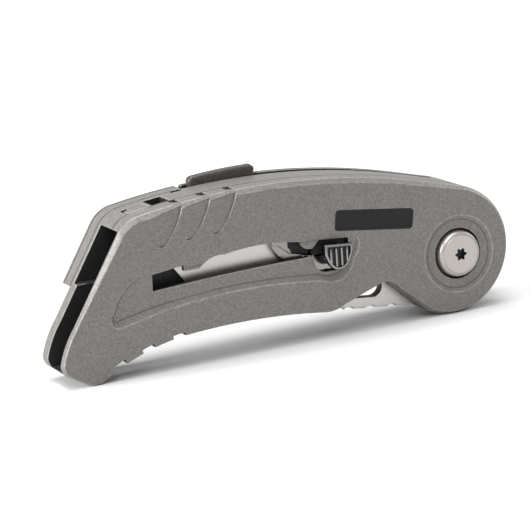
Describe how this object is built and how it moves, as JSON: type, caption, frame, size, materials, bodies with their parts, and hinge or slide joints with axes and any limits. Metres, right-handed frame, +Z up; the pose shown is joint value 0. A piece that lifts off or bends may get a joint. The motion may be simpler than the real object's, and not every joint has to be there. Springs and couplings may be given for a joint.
{
  "type": "utility knife",
  "caption": "Pocket knife with a thumb-slide trapezoid utility blade in the nose and a lock-back sport blade that folds into the handle.",
  "frame": {"origin": "middle of the bottom of the closed knife's bounding box, where the butt corner and the round pivot end touch a level surface", "axes": "+X along the handle towards the pivot end, +Y through the thickness towards the belt clip side, +Z up towards the lock pad"},
  "size_m": [0.1106, 0.0216, 0.0394],
  "materials": {
    "paint": "fine metallic powder coat, warm grey",
    "spring_steel": "spring steel, grey",
    "screw_steel": "plated steel",
    "screw_head": "satin nickel, turned",
    "badge_black": "matt black",
    "bronze": "plain bronze",
    "liner_black": "blackened steel",
    "chrome": "polished chrome plate",
    "blade_steel": "ground blade steel",
    "pad_metal": "satin brown-grey coating"
  },
  "bodies": {
    "handle": {"near_casing": "paint", "frame": "paint", "rear_housing": "paint", "back_plate": "paint", "belt_clip": "spring_steel", "clip_screws": "screw_steel", "housing_screws": "screw_steel", "case_screws": "screw_steel", "badge_plate": "badge_black", "pivot_screw": "screw_head", "pivot_barrel": "screw_steel", "pivot_washers": "bronze", "liner": "liner_black", "stop_pin": "screw_steel", "lock_pivot_pin": "screw_steel", "lock_spring": "spring_steel"},
    "carriage": {"carriage": "chrome", "clamp_plate": "spring_steel", "clamp_rivets": "screw_steel", "utility_blade": "blade_steel", "button_spring": "spring_steel"},
    "button": {"slide_button": "chrome"},
    "folding_blade": {"sport_blade": "blade_steel"},
    "lock": {"lock_bar": "spring_steel", "lock_pad": "pad_metal", "lock_stud": "screw_steel"},
    "latch": {"nose_latch": "paint"}
  },
  "joints": [
    {"name": "utility_slide", "type": "slide", "parent": "handle", "child": "carriage", "axis": [-1, 0, 0], "range_m": [0, 0.04]},
    {"name": "button_press", "type": "slide", "parent": "carriage", "child": "button", "axis": [0, 1, 0], "range_m": [0, 0.0006], "stiffness_N_per_m": 400, "springref_m": -0.001, "deforming": ["button_spring"]},
    {"name": "blade_swing", "type": "hinge", "parent": "handle", "child": "folding_blade", "pos_m": [0.04206, -0.00125, 0.01375], "axis": [0, -1, 0], "range_deg": [0, 180]},
    {"name": "lock_release", "type": "hinge", "parent": "handle", "child": "lock", "pos_m": [0.01406, 0.0054, 0.03275], "axis": [0, -1, 0], "range_deg": [0, 4], "stiffness_Nm_per_rad": 0.6, "springref_deg": -2.86, "deforming": ["lock_spring"]},
    {"name": "nose_latch_press", "type": "slide", "parent": "handle", "child": "latch", "axis": [0, 0, -1], "range_m": [0, 0.001], "stiffness_N_per_m": 300, "springref_m": -0.001}
  ]
}
